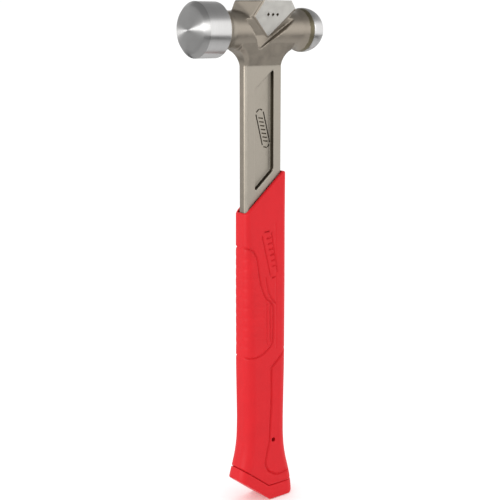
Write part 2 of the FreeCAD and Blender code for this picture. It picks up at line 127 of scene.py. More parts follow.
# The butt, level at the rear and slanted from its bend to the front.
BUTT_SLANT = math.tan(math.radians(37.0))
BUTT_BEND = 1.6
BUTT_CORNER = 4.5
CAP_MIDDLE = 2.0
CAP_FLOOR = 4.5
SEAM_HEIGHT = 10.2
SEAM_BEND = 0.6
SEAM_GAP = 0.14

# Rounded edges of the grip and the cap: (drawn in, away from the end).
GRIP_FOOT_EDGE = ((1.6, 0.0), (0.9, 0.04), (0.4, 0.28), (0.1, 0.66))
GRIP_TOP_EDGE = ((0.08, 0.75), (0.35, 0.3), (0.8, 0.06), (1.25, 0.0))
CAP_FOOT_EDGE = ((1.0, 0.0), (0.62, 0.08), (0.3, 0.3), (0.08, 0.62))
CAP_TOP_EDGE = ((0.1, 0.6), (0.4, 0.24), (0.9, 0.03), (1.6, 0.0))

# Material slots of the forging.
# The dark slot is painted shade on the recess walls, and dark scale in the stamped marks.
# The face slot is the turned steel painted darker, as painted shade on the striking face.
FORGED, TURNED, GROUND, FLAT, SHADE_AND_SCALE, DARK_RING, FACE_SHADED = range(7)


# Modelling by hand, in small steps


def deselect_all():
    """Leave edit mode and clear the selection."""
    if bpy.context.object and bpy.context.object.mode != "OBJECT":
        bpy.ops.object.mode_set(mode="OBJECT")
    bpy.ops.object.select_all(action="DESELECT")


def take(piece):
    """Make a piece the only selected and active one."""
    deselect_all()
    piece.select_set(True)
    bpy.context.view_layer.objects.active = piece


def place(across, deep, up):
    """Bring millimetres about the handle's axis into the frame."""
    return Vector(((across + AXIS_X) * MM, deep * MM, up * MM))


def start_outline(name, points):
    """Start a flat piece from a circle whose corners are moved to the outline's."""
    deselect_all()
    bpy.ops.mesh.primitive_circle_add(vertices=len(points), radius=MM, fill_type="NOTHING")
    piece = bpy.context.object
    piece.name = piece.data.name = name
    for corner, point in zip(piece.data.vertices, points):
        corner.co = place(*point)
    return piece


def face_outwards(piece, tolerance=0.002):
    """Merge doubles and turn all faces outwards."""
    take(piece)
    bpy.ops.object.mode_set(mode="EDIT")
    bpy.ops.mesh.select_all(action="SELECT")
    bpy.ops.mesh.remove_doubles(threshold=tolerance * MM)
    bpy.ops.mesh.normals_make_consistent(inside=False)
    bpy.ops.object.mode_set(mode="OBJECT")


def extrude_outline(name, points, run):
    """Fill an outline and extrude it along a run in millimetres."""
    piece = start_outline(name, points)
    bpy.ops.object.mode_set(mode="EDIT")
    bpy.ops.mesh.select_all(action="SELECT")
    bpy.ops.mesh.edge_face_add()
    bpy.ops.mesh.extrude_region_move(TRANSFORM_OT_translate={"value": [step * MM for step in run]})
    face_outwards(piece)
    return piece


def side_block(name, outline, low=-REACH, high=REACH):
    """Extrude an outline seen from the side, as (across, up), through the thickness."""
    return extrude_outline(name, [(x, low, z) for x, z in outline], (0.0, high - low, 0.0))


def end_block(name, outline):
    """Extrude an outline seen from the end, as (deep, up), from front to rear."""
    return extrude_outline(name, [(-2 * REACH, y, z) for y, z in outline], (4 * REACH, 0.0, 0.0))


def mirrored(half):
    """Close half an outline with its mirror image."""
    return half + [(-a, up) for a, up in reversed(half)]


def spin_profile(name, profile, steps=128):
    """Spin a profile of (run, radius) from the head's middle about the head's axis."""
    piece = start_outline(name, [(x, 0.0, HEAD_Z + radius) for x, radius in profile])
    last = len(profile) - 1
    for edge in piece.data.edges:
        edge.select = set(edge.vertices) == {0, last}
    for corner in piece.data.vertices:
        corner.select = False
    bpy.ops.object.mode_set(mode="EDIT")
    bpy.ops.mesh.select_mode(type="EDGE")
    bpy.ops.mesh.delete(type="EDGE")
    bpy.ops.mesh.select_mode(type="VERT")
    bpy.ops.mesh.select_all(action="SELECT")
    bpy.ops.mesh.spin(steps=steps, angle=math.tau, center=place(0, 0, HEAD_Z), axis=(1, 0, 0))
    face_outwards(piece)
    return piece


def arc(centre, radius, start, end, steps):
    """Give the points of an arc, with angles in degrees."""
    turns = [math.radians(start + (end - start) * step / steps) for step in range(steps + 1)]
    return [(centre[0] + radius * math.cos(t), centre[1] + radius * math.sin(t)) for t in turns]


def apply_modifier(piece, kind, **settings):
    """Add a modifier, set it and apply it."""
    take(piece)
    modifier = piece.modifiers.new(kind.lower(), kind)
    for name, value in settings.items():
        setattr(modifier, name, value)
    bpy.ops.object.modifier_apply(modifier=modifier.name)


def combine(piece, other, how):
    """Join, cut or intersect a piece with another, which is used up."""
    apply_modifier(piece, "BOOLEAN", object=other, operation=how, solver="EXACT")
    bpy.data.objects.remove(other, do_unlink=True)


def bore(piece, across, up, radius, sides):
    """Bore a round hole through a piece from side to side."""
    deselect_all()
    bpy.ops.mesh.primitive_cylinder_add(
        vertices=sides, radius=radius * MM, depth=2 * REACH * MM,
        location=place(across, 0, up), rotation=(math.pi / 2, 0, 0))
    bpy.ops.object.transform_apply(location=True, rotation=True, scale=True)
    combine(piece, bpy.context.object, "DIFFERENCE")


def select_edges(piece, test):
    """Select the edges whose middle and direction pass a test."""
    take(piece)
    bpy.ops.object.mode_set(mode="EDIT")
    bpy.ops.mesh.select_mode(type="EDGE")
    bpy.ops.mesh.select_all(action="DESELECT")
    bpy.ops.object.mode_set(mode="OBJECT")
    corners = piece.data.vertices
    for edge in piece.data.edges:
        start, end = (corners[index].co / MM for index in edge.vertices)
        middle = (start + end) / 2
        edge.select = bool(test(middle.x - AXIS_X, middle.y, middle.z, (end - start).normalized()))


def bevel_selected(width, segments=1):
    """Bevel the selected edges."""
    bpy.ops.object.mode_set(mode="EDIT")
    bpy.ops.mesh.bevel(offset=width * MM, segments=segments, affect="EDGES")
    bpy.ops.object.mode_set(mode="OBJECT")


def coat(piece, materials, choose=0):
    """Fill a piece's slots and give its faces one slot, or the slot chosen for each."""
    piece.data.materials.clear()
    for material in materials:
        piece.data.materials.append(material)
    for face in piece.data.polygons:
        middle = face.center / MM
        face.material_index = (
            choose(middle.x - AXIS_X, middle.y, middle.z, face.normal) if callable(choose) else choose)


def finish_piece(piece, name, node, angle=30.0):
    """Shade a piece, name it and tie it to the frame."""
    take(piece)
    bpy.ops.object.shade_smooth_by_angle(angle=math.radians(angle))
    piece.name = piece.data.name = name
    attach(piece, "root")
    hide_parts(node)


# Materials


class Nodes:
    """A node tree, with short ways to add and join its nodes."""

    def __init__(self, tree):
        self.tree = tree
        self.nodes = tree.nodes

    def join(self, output, target):
        """Link an output to an input."""
        self.tree.links.new(output, target)

    def add(self, kind, **inputs):
        """Add a node, with inputs given by name, or by number as i0, i1 and so on."""
        node = self.nodes.new("ShaderNode" + kind)
        for name, value in inputs.items():
            if name in ("operation", "data_type"):
                setattr(node, name, value)
                continue
            numbered = name[0] == "i" and name[1:].isdigit()
            socket = node.inputs[int(name[1:]) if numbered else name]
            if isinstance(value, bpy.types.NodeSocket):
                self.join(value, socket)
            else:
                socket.default_value = value
        return node

    def spread(self, value, to_low, to_high, low=0.3, high=0.7):
        """Bring a value from one range to another."""
        node = self.add("MapRange", Value=value)
        names = ("From Min", "From Max", "To Min", "To Max")
        for name, number in zip(names, (low, high, to_low, to_high)):
            node.inputs[name].default_value = number
        return node.outputs["Result"]


class Surface(Nodes):
    """A node material around one shader."""

    def __init__(self, name, colour, metallic, roughness):
        self.material = bpy.data.materials.new(name)
        self.material.use_nodes = True
        self.material.diffuse_color = (*colour, 1.0)
        super().__init__(self.material.node_tree)
        self.shader = self.nodes["Principled BSDF"]
        self.shader.inputs["Base Color"].default_value = (*colour, 1.0)
        self.shader.inputs["Metallic"].default_value = metallic
        self.shader.inputs["Roughness"].default_value = roughness
        self.position = self.add("TexCoord").outputs["Object"]
        self.bumps = None

    def noise(self, vector, scale, detail, rough=0.55):
        """Give a noise pattern."""
        node = self.add("TexNoise", Vector=vector, Scale=scale, Detail=detail, Roughness=rough)
        return node.outputs["Fac"]

    def blend(self, factor, first, second):
        """Mix two colours."""
        return self.add("Mix", data_type="RGBA", i0=factor, i6=first, i7=second).outputs[2]

    def tint(self, pattern, colour, dark, light, low=0.3, high=0.7):
        """Shade a colour from dark to light with a pattern."""
        factor = self.spread(pattern, 0.0, 1.0, low, high)
        return self.blend(factor, scaled(colour, dark), scaled(colour, light))

    def show(self, colour, roughness=None):
        """Join the shader's colour, and its roughness if that varies."""
        self.join(colour, self.shader.inputs["Base Color"])
        if roughness:
            self.join(roughness, self.shader.inputs["Roughness"])

    def bump(self, height, distance, strength):
        """Add a bump on top of those already there."""
        node = self.add("Bump", Height=height, Strength=strength, Distance=distance)
        if self.bumps:
            self.join(self.bumps, node.inputs["Normal"])
        self.bumps = node.outputs["Normal"]
        self.join(self.bumps, self.shader.inputs["Normal"])

    def around_head(self):
        """Give the direction round the head's axis, and (run, radius) as a vector."""
        centre, axis = place(0, 0, HEAD_Z), (1.0, 0.0, 0.0)
        middle = self.add("VectorMath", operation="SUBTRACT", i0=self.position, i1=centre)
        turning = self.add("VectorMath", operation="CROSS_PRODUCT", i0=axis, i1=middle.outputs[0])
        unit = self.add("VectorMath", operation="NORMALIZE", i0=turning.outputs[0])
        radius = self.add("VectorMath", operation="LENGTH", i0=turning.outputs[0])
        run = self.add("SeparateXYZ", Vector=middle.outputs[0]).outputs["X"]
        flat = self.add("CombineXYZ", X=run, Y=radius.outputs["Value"])
        return unit.outputs[0], flat.outputs[0]


def scaled(colour, amount):
    """Lighten or darken a colour and make it opaque."""
    return (*[min(1.0, channel * amount) for channel in colour], 1.0)


def make_forged_steel(name, colour):
    """Satin drop-forged steel: mottled, finely pitted, rubbed brighter on its edges."""
    steel = Surface(name, colour, metallic=1.0, roughness=0.42)
    patches = steel.noise(steel.position, scale=160.0, detail=5.0, rough=0.6)
    grain = steel.noise(steel.position, scale=2600.0, detail=3.0)
    edge = steel.add("NewGeometry").outputs["Pointiness"]
    base = steel.tint(patches, colour, dark=0.93, light=1.07, low=0.35, high=0.65)
    base = steel.blend(steel.spread(grain, 0.0, 0.35), base, scaled(colour, 1.35))
    base = steel.blend(steel.spread(edge, 0.0, 0.5, low=0.52, high=0.58), base, scaled(colour, 1.6))
    steel.show(base, steel.spread(patches, 0.36, 0.5))
    steel.bump(grain, distance=0.03 * MM, strength=0.5)
    steel.bump(patches, distance=0.12 * MM, strength=0.35)
    return steel.material


def make_turned_steel(name, colour):
    """Bright machined steel with fine rings left by the tool."""
    steel = Surface(name, colour, metallic=1.0, roughness=0.36)
    steel.shader.inputs["Anisotropic"].default_value = 1.0
    steel.shader.inputs["Anisotropic Rotation"].default_value = 0.25
    around, flat = steel.around_head()
    steel.join(around, steel.shader.inputs["Tangent"])
    rings = steel.noise(flat, scale=5200.0, detail=2.0)
    bands = steel.noise(flat, scale=2400.0, detail=2.0)
    steel.show(steel.tint(bands, colour, dark=0.96, light=1.03), steel.spread(rings, 0.33, 0.4))
    steel.bump(rings, distance=0.004 * MM, strength=0.5)
    return steel.material


def make_ground_steel(name, colour):
    """Steel ground flat, with straight fine lines."""
    steel = Surface(name, colour, metallic=1.0, roughness=0.34)
    steel.shader.inputs["Anisotropic"].default_value = 0.3
    stretched = steel.add("Mapping", Vector=steel.position, Scale=(300.0, 300.0, 9000.0))
    lines = steel.noise(stretched.outputs["Vector"], scale=1.0, detail=3.0)
    cloud = steel.noise(steel.position, scale=240.0, detail=3.0)
    steel.show(steel.tint(lines, colour, dark=0.93, light=1.04), steel.spread(cloud, 0.3, 0.42))
    steel.bump(lines, distance=0.008 * MM, strength=0.5)
    return steel.material


def make_moulded(name, colour, roughness, grain_scale, grain_depth):
    """Moulded rubber or plastic with a fine spark texture and faint clouding."""
    skin = Surface(name, colour, metallic=0.0, roughness=roughness)
    skin.shader.inputs["Specular IOR Level"].default_value = 0.2
    cloud = skin.noise(skin.position, scale=90.0, detail=4.0)
    grain = skin.noise(skin.position, scale=grain_scale, detail=2.0)
    base = skin.tint(cloud, colour, dark=0.96, light=1.03)
    base = skin.blend(skin.spread(grain, 0.0, 0.3, low=0.35, high=0.75), base, scaled(colour, 0.86))
    skin.show(base, skin.spread(grain, roughness - 0.05, roughness + 0.07))
    skin.bump(grain, distance=grain_depth * MM, strength=0.6)
    return skin.material


def make_floor_finish(colour):
    """Matte pale paper with a hint of tooth."""
    paper = Surface("pale_paper", colour, metallic=0.0, roughness=0.9)
    paper.shader.inputs["Specular IOR Level"].default_value = 0.0
    paper.shader.inputs["Emission Color"].default_value = (1.0, 1.0, 1.0, 1.0)
    paper.shader.inputs["Emission Strength"].default_value = 0.12
    tooth = paper.noise(paper.position, scale=400.0, detail=2.0)
    paper.show(paper.tint(tooth, colour, dark=0.985, light=1.0))
    return paper.material


# The forging


def about_head(points):
    """Lift points whose heights are given from the head's axis."""
    return [(a, HEAD_Z + up) for a, up in points]


def web_outline():
    """Give the side outline of the cheeks and the steel neck, as (across, up)."""
    under = HEAD_Z - ROUND_RADIUS
    centre = (NECK_HALF_WIDTH + FLARE_RADIUS, under - FLARE_RADIUS)
    flare = arc(centre, FLARE_RADIUS, 180.0, 112.0, 10)
    reach, shoulder = flare[-1][0], under + 5.0
    outline = [(-NECK_HALF_WIDTH, NECK_FOOT), (NECK_HALF_WIDTH, NECK_FOOT)] + flare
    outline += [(reach, shoulder), (WEB_REAR, shoulder), (WEB_REAR, WEB_TOP)]
    outline += [(WEB_FRONT, WEB_TOP), (WEB_FRONT, shoulder), (-reach, shoulder)]
    return outline + [(-x, z) for x, z in reversed(flare)]


def thickness_outline():
    """Give the section of the neck and the web under the head, as (deep, up)."""
    foot = (NECK_HALF_THICKNESS, NECK_FOOT - 6.0)
    web = about_head([(NECK_HALF_THICKNESS, -22.5), (8.94, -8.0), (8.3, 2.0)])
    return mirrored([foot] + web)


def lean_at(height):
    """Give how far the leaning panel stands from the middle at a height."""
    share = (height - HEAD_Z - PANEL_LOW) / (CHEEK_TOP - PANEL_LOW)
    return PANEL_FOOT_DEEP + (PANEL_TOP_DEEP - PANEL_FOOT_DEEP) * share


def make_panel():
    """Make both leaning panels as one block with eased edges."""
    panel = side_block("panel_block", about_head(PANEL))
    low, high = HEAD_Z - 12.0, HEAD_Z + 20.0
    wedge = end_block("panel_wedge", mirrored([(lean_at(low), low), (lean_at(high), high)]))
    combine(panel, wedge, "INTERSECT")
    face_outwards(panel)
    select_edges(panel, lambda x, y, z, run: abs(abs(y) - lean_at(z)) < 0.05 and z < HEAD_Z + 18.0)
    bevel_selected(PANEL_EDGE)
    return panel


def hull_block(name, points):
    """Wrap points in a hull."""
    piece = start_outline(name, points)
    bpy.ops.object.mode_set(mode="EDIT")
    bpy.ops.mesh.select_all(action="SELECT")
    bpy.ops.mesh.convex_hull()
    face_outwards(piece)
    return piece


def make_cheeks():
    """Make the raised middle of the head, whose sides run back from the panels to a ridge."""
    corners = [(across, side * (lean_at(up) - PANEL_STEP), up)
               for across, up in about_head(CHEEK_EDGE) for side in (-1.0, 1.0)]
    corners += [(across, 0.0, up) for across, up in about_head(CHEEK_RIDGE)]
    return hull_block("cheeks", corners)


def make_pad_cutter(side):
    """Make the cutter that leaves a level pad around the panel on one cheek."""
    cutter = side_block("pad_cutter", about_head(PAD))
    low, top, out = -13.0, 19.5, REACH - 5.0
    slope = [(PAD_DEEP, low), (PAD_DEEP, -3.5), (lean_at(HEAD_Z + top) - PANEL_STEP, top)]
    section = about_head(slope + [(out, top), (out, low)])
    combine(cutter, end_block("above_pad", [(side * y, z) for y, z in section]), "INTERSECT")
    face_outwards(cutter)
    return cutter


def make_recess(side):
    """Make the cutter for the slanted recess in one broad side of the neck."""
    rise, half = RECESS_HALF_WIDTH * SLANT, RECESS_LENGTH / 2
    outline = [(a * RECESS_HALF_WIDTH, RECESS_MIDDLE + b * half + a * rise)
               for a, b in ((-1, 1), (-1, -1), (1, -1), (1, 1))]
    cutter = side_block("recess", outline, side * RECESS_FLOOR, side * 9.0)
    select_edges(cutter, lambda x, y, z, run: abs(run.y) > 0.9)
    bevel_selected(RECESS_CORNER, segments=5)
    return cutter


def make_round_necks():
    """Spin the round necks, with a cone behind the barrel and a flare at the ball."""
    cone = [(-42.0, 0.0), (-42.0, 15.0), (-35.2, 15.4), (-34.4, 15.0), (-31.5, 13.0), (-28.4, 12.1)]
    necks = [(-27.4, ROUND_RADIUS), (26.5, ROUND_RADIUS)]
    flare = [(28.0, 12.25), (29.6, 12.9), (31.6, 13.8), (33.0, 14.2), (34.3, 14.25), (34.3, 0.0)]
    return spin_profile("round_necks", cone + necks + flare)


def make_forged_body(cell):
    """Make the soft-edged forged part: cheeks, necks, back of the ball and steel neck."""
    body = side_block("forged_body", web_outline())
    combine(body, end_block("section", thickness_outline()), "INTERSECT")
    face_outwards(body)
    select_edges(body, lambda x, y, z, run: abs(run.y) < 0.5 and abs(x) > NECK_HALF_WIDTH - 0.1
                 and 200.0 < z < HEAD_Z - 12.8)
    bevel_selected(NECK_EDGE)
    combine(body, make_round_necks(), "UNION")
    combine(body, make_cheeks(), "UNION")
    for make_cutter in (make_pad_cutter, make_recess):
        for side in (1.0, -1.0):
            combine(body, make_cutter(side), "DIFFERENCE")
    face_outwards(body)
    apply_modifier(body, "REMESH", mode="VOXEL", voxel_size=cell)
    apply_modifier(body, "SMOOTH", factor=0.5, iterations=3)
    return body


def make_barrel():
    """Spin the machined striking face and its barrel."""
    radii = (0.0, 2.5, 5.0, 7.5, 10.0, 12.0, FACE_RADIUS)
    face = [(FACE_X + FACE_CROWN * (radius / FACE_RADIUS) ** 2, radius) for radius in radii]
    rim = [(-55.3, 14.75), (-53.1, 16.9), (-52.5, BARREL_RADIUS), (-37.3, BARREL_RADIUS)]
    rear = [(-36.9, 17.2), (-35.7, 16.0), (BARREL_REAR, 15.7), (BARREL_REAR, 14.0)]
    return spin_profile("turned_barrel", face + rim + rear + [(-40.0, 13.0), (-40.0, 0.0)])


def make_ball_end():
    """Spin the machined outer half of the ball."""
    collar = [(33.0, 0.0), (33.0, 13.2), (34.3, 13.7)]
    return spin_profile("turned_ball", collar + arc((BALL_X, 0.0), BALL_RADIUS, 91.0, 0.0, 28))


def make_tang():
    """Make the tang inside the grip, with the holes that the core fills."""
    tang = side_block("tang", mirrored(TANG), -TANG_HALF_THICKNESS, TANG_HALF_THICKNESS)
    for height in LOCK_HOLE_HEIGHTS:
        bore(tang, 0.0, height, LOCK_HOLE_RADIUS, sides=48)
    return tang


def forged_zone(x, y, z, normal):
    """Choose the material of a face of the forged body, with painted shade on the recess walls."""
    on_floor_side = abs(x) < RECESS_HALF_WIDTH + 1.0 and abs(y) < NECK_HALF_THICKNESS - 0.1
    in_recess = on_floor_side and abs(z - RECESS_MIDDLE) < 46.0
    # Painted shade: the narrow walls of the recess get near-black steel where they fall in shadow.
    if in_recess and abs(normal.y) < 0.9 and (normal.z < 0.3 or abs(y) < 3.0):
        return SHADE_AND_SCALE
    # The broad flats of the neck take a slightly lighter copy of the forged steel.
    if z < HEAD_Z - 22.3 and abs(normal.y) > 0.6:
        return FLAT
    # A darker ring of forged steel just behind the machined ball.
    if x > DARK_RING_X and math.hypot(y, z - HEAD_Z) > ROUND_RADIUS + 0.5:
        return DARK_RING
    return FORGED


def bar(start, end, width):
    """Give the outline of a narrow bar between two points."""
    start, end = Vector(start), Vector(end)
    run = (end - start).normalized() * width / 2
    side = Vector((-run.y, run.x))
    return [tuple(start + side), tuple(start - side), tuple(end - side), tuple(end + side)]


def tilted_frame(centre, length, width, tilt, bars):
    """Give the bars of a plain tilted frame with short bars across its middle."""
    along = Vector((math.sin(tilt), -math.cos(tilt)))
    across = Vector((math.cos(tilt), math.sin(tilt)))

    def at(a, b):
        return tuple(Vector(centre) + along * a * length / 2 + across * b * width / 2)

    lines = [(at(-0.8, side), at(0.8, side)) for side in (-1, 1)]
    for end in (-1, 1):
        lines += [(at(0.9 * end, -0.8), at(end, 0.0)), (at(end, 0.18), at(0.9 * end, 0.8))]
    for step in range(bars):
        start = -0.6 + 1.2 * step / (bars - 1)
        lines.append((at(start, -0.55), at(start + 0.12, 0.55)))
    return lines


def stamp(name, lines, width, floor_at, side):
    """Make one cutter from many bars, whose floors follow the face that they go into."""
    inner, outer = 1.0, 20.0
    parts = []
    for start, end in lines:
        part = side_block(name, bar(start, end, width), side * inner, side * outer)
        for corner in part.data.vertices:
            if abs(corner.co.y) < outer / 2 * MM:
                corner.co.y = side * floor_at(corner.co.z / MM) * MM
        parts.append(part)
    deselect_all()
    for part in parts:
        part.select_set(True)
    bpy.context.view_layer.objects.active = parts[0]
    bpy.ops.object.join()
    face_outwards(parts[0])
    return parts[0]


def make_forging(sizes, finishes):
    """Make the head, neck and tang in one piece."""
    slots = [
        make_forged_steel("forged_steel", finishes.forged_colour),
        make_turned_steel("turned_steel", finishes.turned_colour),
        make_ground_steel("ground_steel", finishes.ground_colour),
        # A slightly lighter copy of the forged steel, for the broad flats of the neck.
        make_forged_steel("lighter_flat_steel", finishes.flat_colour),
        # Near-black steel: painted shade on the recess walls, and dark scale in the marks.
        make_forged_steel("painted_shade_and_scale", finishes.shade_and_scale_colour),
        # A darker ring of forged steel just behind the machined ball.
        make_forged_steel("dark_ring_steel", finishes.dark_ring_colour),
        # Painted shade: the striking face is the same turned steel as the barrel, given a darker colour
        # for its darker look.
        make_turned_steel("face_painted_shade", finishes.face_shade_colour),
    ]
    body = make_forged_body(sizes.forging_detail)
    coat(body, slots, forged_zone)
    parts = (
        (make_panel(), lambda x, y, z, normal: GROUND if abs(normal.y) > 0.95 else FORGED),
        # The striking face takes the darker, painted-shade copy of the turned steel.
        (make_barrel(), lambda x, y, z, normal: FACE_SHADED if normal.x < -0.3 else TURNED),
        (make_ball_end(), TURNED),
        (make_tang(), FORGED),
    )
    for part, finish in parts:
        coat(part, slots, finish)
        combine(body, part, "UNION")
    frame_lines = tilted_frame(
        centre=(0.9, 255.2), length=26.0, width=6.4, tilt=math.radians(15.0), bars=7)
    dots = [((x - 0.6, HEAD_Z + 9.0), (x + 0.6, HEAD_Z + 10.2)) for x in (-2.8, 1.0, 4.8)]
    marks = (
        ("neck_mark", frame_lines, 0.9, lambda height: RECESS_FLOOR - 0.45),
        ("panel_mark", dots, 1.7, lambda height: lean_at(height) - 0.35),
    )
    for side in (-1.0, 1.0):
        for name, lines, width, floor_at in marks:
            mark = stamp(name, lines, width, floor_at, side)
            # The marks take the near-black steel as dark scale.
            coat(mark, slots, SHADE_AND_SCALE)
            combine(body, mark, "DIFFERENCE")
    finish_piece(body, "one_piece_forging", "hammer_forging")
    return body


# The moulded grip and butt


def section_at(height):
    """Give front reach, rear reach, half thickness and corner radius at a height."""
    for (low, *first), (high, *last) in zip(GRIP_SECTIONS, GRIP_SECTIONS[1:]):
        if height <= high:
            break
    share = min(1.0, max(0.0, (height - low) / (high - low)))
    front, rear, side, corner = (a + (b - a) * share for a, b in zip(first, last))
    return NECK_HALF_WIDTH + front, NECK_HALF_WIDTH + rear, NECK_HALF_THICKNESS + side, corner


def smooth_section(height):
    """Give the section at a height, averaged over a short stretch so that no bend shows."""
    stretch = [section_at(min(GRIP_SECTION_TOP, height + step)) for step in range(-6, 7, 2)]
    return [sum(values) / len(stretch) for values in zip(*stretch)]


def make_ring_plan(broad, narrow, bend):
    """Give each column of a rounded box as a corner or side and a share along it."""
    plan = []
    for index in range(4):
        count = broad if index % 2 == 0 else narrow
        plan += [("side", index, step / count) for step in range(count)]
        plan += [("corner", index, step / bend) for step in range(bend)]
    return plan


def ring_point(column, section):
    """Give a column's place on a rounded box, starting along the near side."""
    kind, index, share = column
    front, rear, half, corner = section
    least_flat = 0.02
    corner = min(corner, half - least_flat, (front + rear) / 2 - least_flat)
    centres = (
        (rear - corner, -half + corner),
        (rear - corner, half - corner),
        (-front + corner, half - corner),
        (-front + corner, -half + corner),
    )
    outward = ((0, -1), (1, 0), (0, 1), (-1, 0))
    if kind == "side":
        start, end, out = centres[index - 1], centres[index], outward[index]
        return tuple(s + (e - s) * share + corner * o for s, e, o in zip(start, end, out))
    turn = math.radians(-90.0 + 90.0 * index + 90.0 * share)
    return centres[index][0] + corner * math.cos(turn), centres[index][1] + corner * math.sin(turn)


def weave(name, rings, wrapped, tolerance):
    """Bridge rings of points into one skin, and wrap it round to the first ring if asked."""
    deselect_all()
    count, across = len(rings), len(rings[0])
    bpy.ops.mesh.primitive_cylinder_add(
        vertices=across, radius=MM, depth=MM, end_fill_type="NOTHING")
    piece = bpy.context.object
    piece.name = piece.data.name = name
    faces = []
    for row in range(count if wrapped else count - 1):
        this, following = row * across, (row + 1) % count * across
        for step in range(across):
            after = (step + 1) % across
            faces.append((this + step, this + after, following + after, following + step))
    piece.data.clear_geometry()
    piece.data.from_pydata([place(*point) for ring in rings for point in ring], [], faces)
    piece.data.update()
    face_outwards(piece, tolerance)
    return piece


def grip_top(across):
    """Give the height of the grip's slanted top edge."""
    return min(GRIP_FRONT_TOP + max(0.0, across - GRIP_SLANT_START) * SLANT, GRIP_REAR_TOP)


def butt_rise(across, bend):
    """Give how far the butt's slant has risen at a place in front of its bend."""
    return max(0.0, bend - across) * BUTT_SLANT


def seam_line(across):
    """Give the height of the bent seam above the butt."""
    return SEAM_HEIGHT + butt_rise(across, SEAM_BEND)


def grip_foot(across):
    """Give the height of the grip's lower end, just above the seam."""
    return seam_line(across) + SEAM_GAP


def butt_line(across, rear):
    """Give the height of the butt's underside, with its rear corner rounded."""
    low = butt_rise(across, BUTT_BEND)
    past = across - (rear - BUTT_CORNER)
    if past > 0.0:
        low += BUTT_CORNER - math.sqrt(max(0.0, BUTT_CORNER * BUTT_CORNER - past * past))
    return low


def shrunk(section, amount):
    """Draw a section in by an amount on every side."""
    front, rear, half, corner = section
    return front - amount, rear - amount, half - amount, max(0.3, corner - amount)


def lay_ring(columns, line, section, inset=0.0, lift=0.0):
    """Lay a ring of points on a height line, with a fixed section or the one at each height."""
    ring = []
    for column in columns:
        up = 100.0
        for _ in range(5):
            shape = section(up) if callable(section) else section
            across, deep = ring_point(column, shrunk(shape, inset))
            up = line(across) + lift
        ring.append((across, deep, up))
    return ring


def polyline_distance(x, z, points):
    """Give the distance from a point to a line of straight runs."""
    best = math.inf
    for (ax, az), (bx, bz) in zip(points, points[1:]):
        dx, dz = bx - ax, bz - az
        share = max(0.0, min(1.0, ((x - ax) * dx + (z - az) * dz) / (dx * dx + dz * dz)))
        best = min(best, math.hypot(x - ax - share * dx, z - az - share * dz))
    return best


def curved(points, steps=6):
    """Round a line of points with a smooth curve through them."""
    ends = [points[0]] + list(points) + [points[-1]]
    line = []
    for a, b, c, d in zip(ends, ends[1:], ends[2:], ends[3:]):
        for step in range(steps):
            t = step / steps
            line.append(tuple(
                0.5 * (2 * q + (r - p) * t + (2 * p - 5 * q + 4 * r - s) * t ** 2
                       + (3 * q - p - 3 * r + s) * t ** 3)
                for p, q, r, s in zip(a, b, c, d)))
    line.append(points[-1])
    return line


# Lines pressed into each broad side of the grip: points as (across, up), half width and depth.
GRIP_LINES = (
    (curved([(-18.0, 178.5), (-12.5, 176.5), (-9.4, 172.0), (-8.0, 166.0), (-6.6, 156.3), (-5.0, 150.0),
             (-1.7, 143.4), (3.4, 138.6), (4.6, 133.0), (4.4, 120.0), (3.6, 111.5), (-2.0, 106.5),
             (-9.0, 103.8), (-17.5, 103.6)]), 0.95, 0.85),
    (curved([(-1.5, 157.0), (0.0, 149.0), (2.6, 143.0), (7.0, 138.0)]), 0.9, 0.65),
    (((-0.9, 139.0), (-1.1, 111.0)), 0.8, 0.45),
    (((1.9, 138.0), (1.9, 113.0)), 0.8, 0.6),
    (((7.7, 192.0), (7.0, 108.0)), 0.9, 0.25),
    (curved([(16.0, 106.0), (12.1, 102.3), (7.6, 98.2), (3.4, 94.6), (2.9, 92.0), (2.9, 71.5), (2.1, 57.4),
             (1.6, 47.5), (1.2, 41.8), (-0.7, 35.1), (-2.3, 27.6), (-1.3, 23.4), (1.3, 20.2), (6.6, 17.3),
             (11.2, 17.0), (17.0, 17.4)]), 1.2, 1.15),
)
GRIP_MARK = tuple(
    (line, 0.7, 0.75) for line in (
        ((-4.0, 185.0), (2.4, 158.2)), ((4.0, 186.6), (8.6, 160.4)), ((-1.6, 187.4), (2.2, 187.8)),
        ((3.6, 156.2), (7.0, 156.8)), ((0.0, 183.0), (3.2, 183.4)), ((0.9, 179.2), (4.1, 179.6)),
        ((1.8, 175.4), (5.0, 175.8)), ((2.7, 171.6), (5.9, 172.0)), ((3.6, 167.8), (6.8, 168.2)),
        ((4.3, 164.0), (7.2, 164.4))))
FRONT_RIBS = tuple(177.4 - 6.6 * step for step in range(11))
RIB_HALF_WIDTH = 2.2
RIB_DEPTH = 0.16
RIB_FADE = 3.0
# How far round the side a rib's groove runs, for ribs above each height.
RIB_REACH = ((160.0, -9.5), (145.0, -8.4), (112.0, -3.0), (0.0, -10.0))


def groove(distance, half_width, depth):
    """Give the depth of a round-bottomed groove at a distance from its line."""
    if distance >= half_width:
        return 0.0
    return depth * (0.5 + 0.5 * math.cos(math.pi * distance / half_width))


def pressed_in(across, deep, up, half):
    """Give how far the grip's skin is pressed in at a place."""
    depth = 0.0
    if abs(deep) > half * 0.55 and 12.0 < up < 200.0:
        lines = GRIP_LINES + (GRIP_MARK if 150.0 < up < 192.0 else ())
        for points, half_width, amount in lines:
            depth = max(depth, groove(polyline_distance(across, up, points), half_width, amount))
    for height in FRONT_RIBS:
        gap = abs(up - height)
        if gap < RIB_HALF_WIDTH:
            reach = next(reach for above, reach in RIB_REACH if height > above)
            fade = max(0.0, min(1.0, (reach - across) / RIB_FADE))
            depth = max(depth, groove(gap, RIB_HALF_WIDTH, RIB_DEPTH) * fade)
    return depth


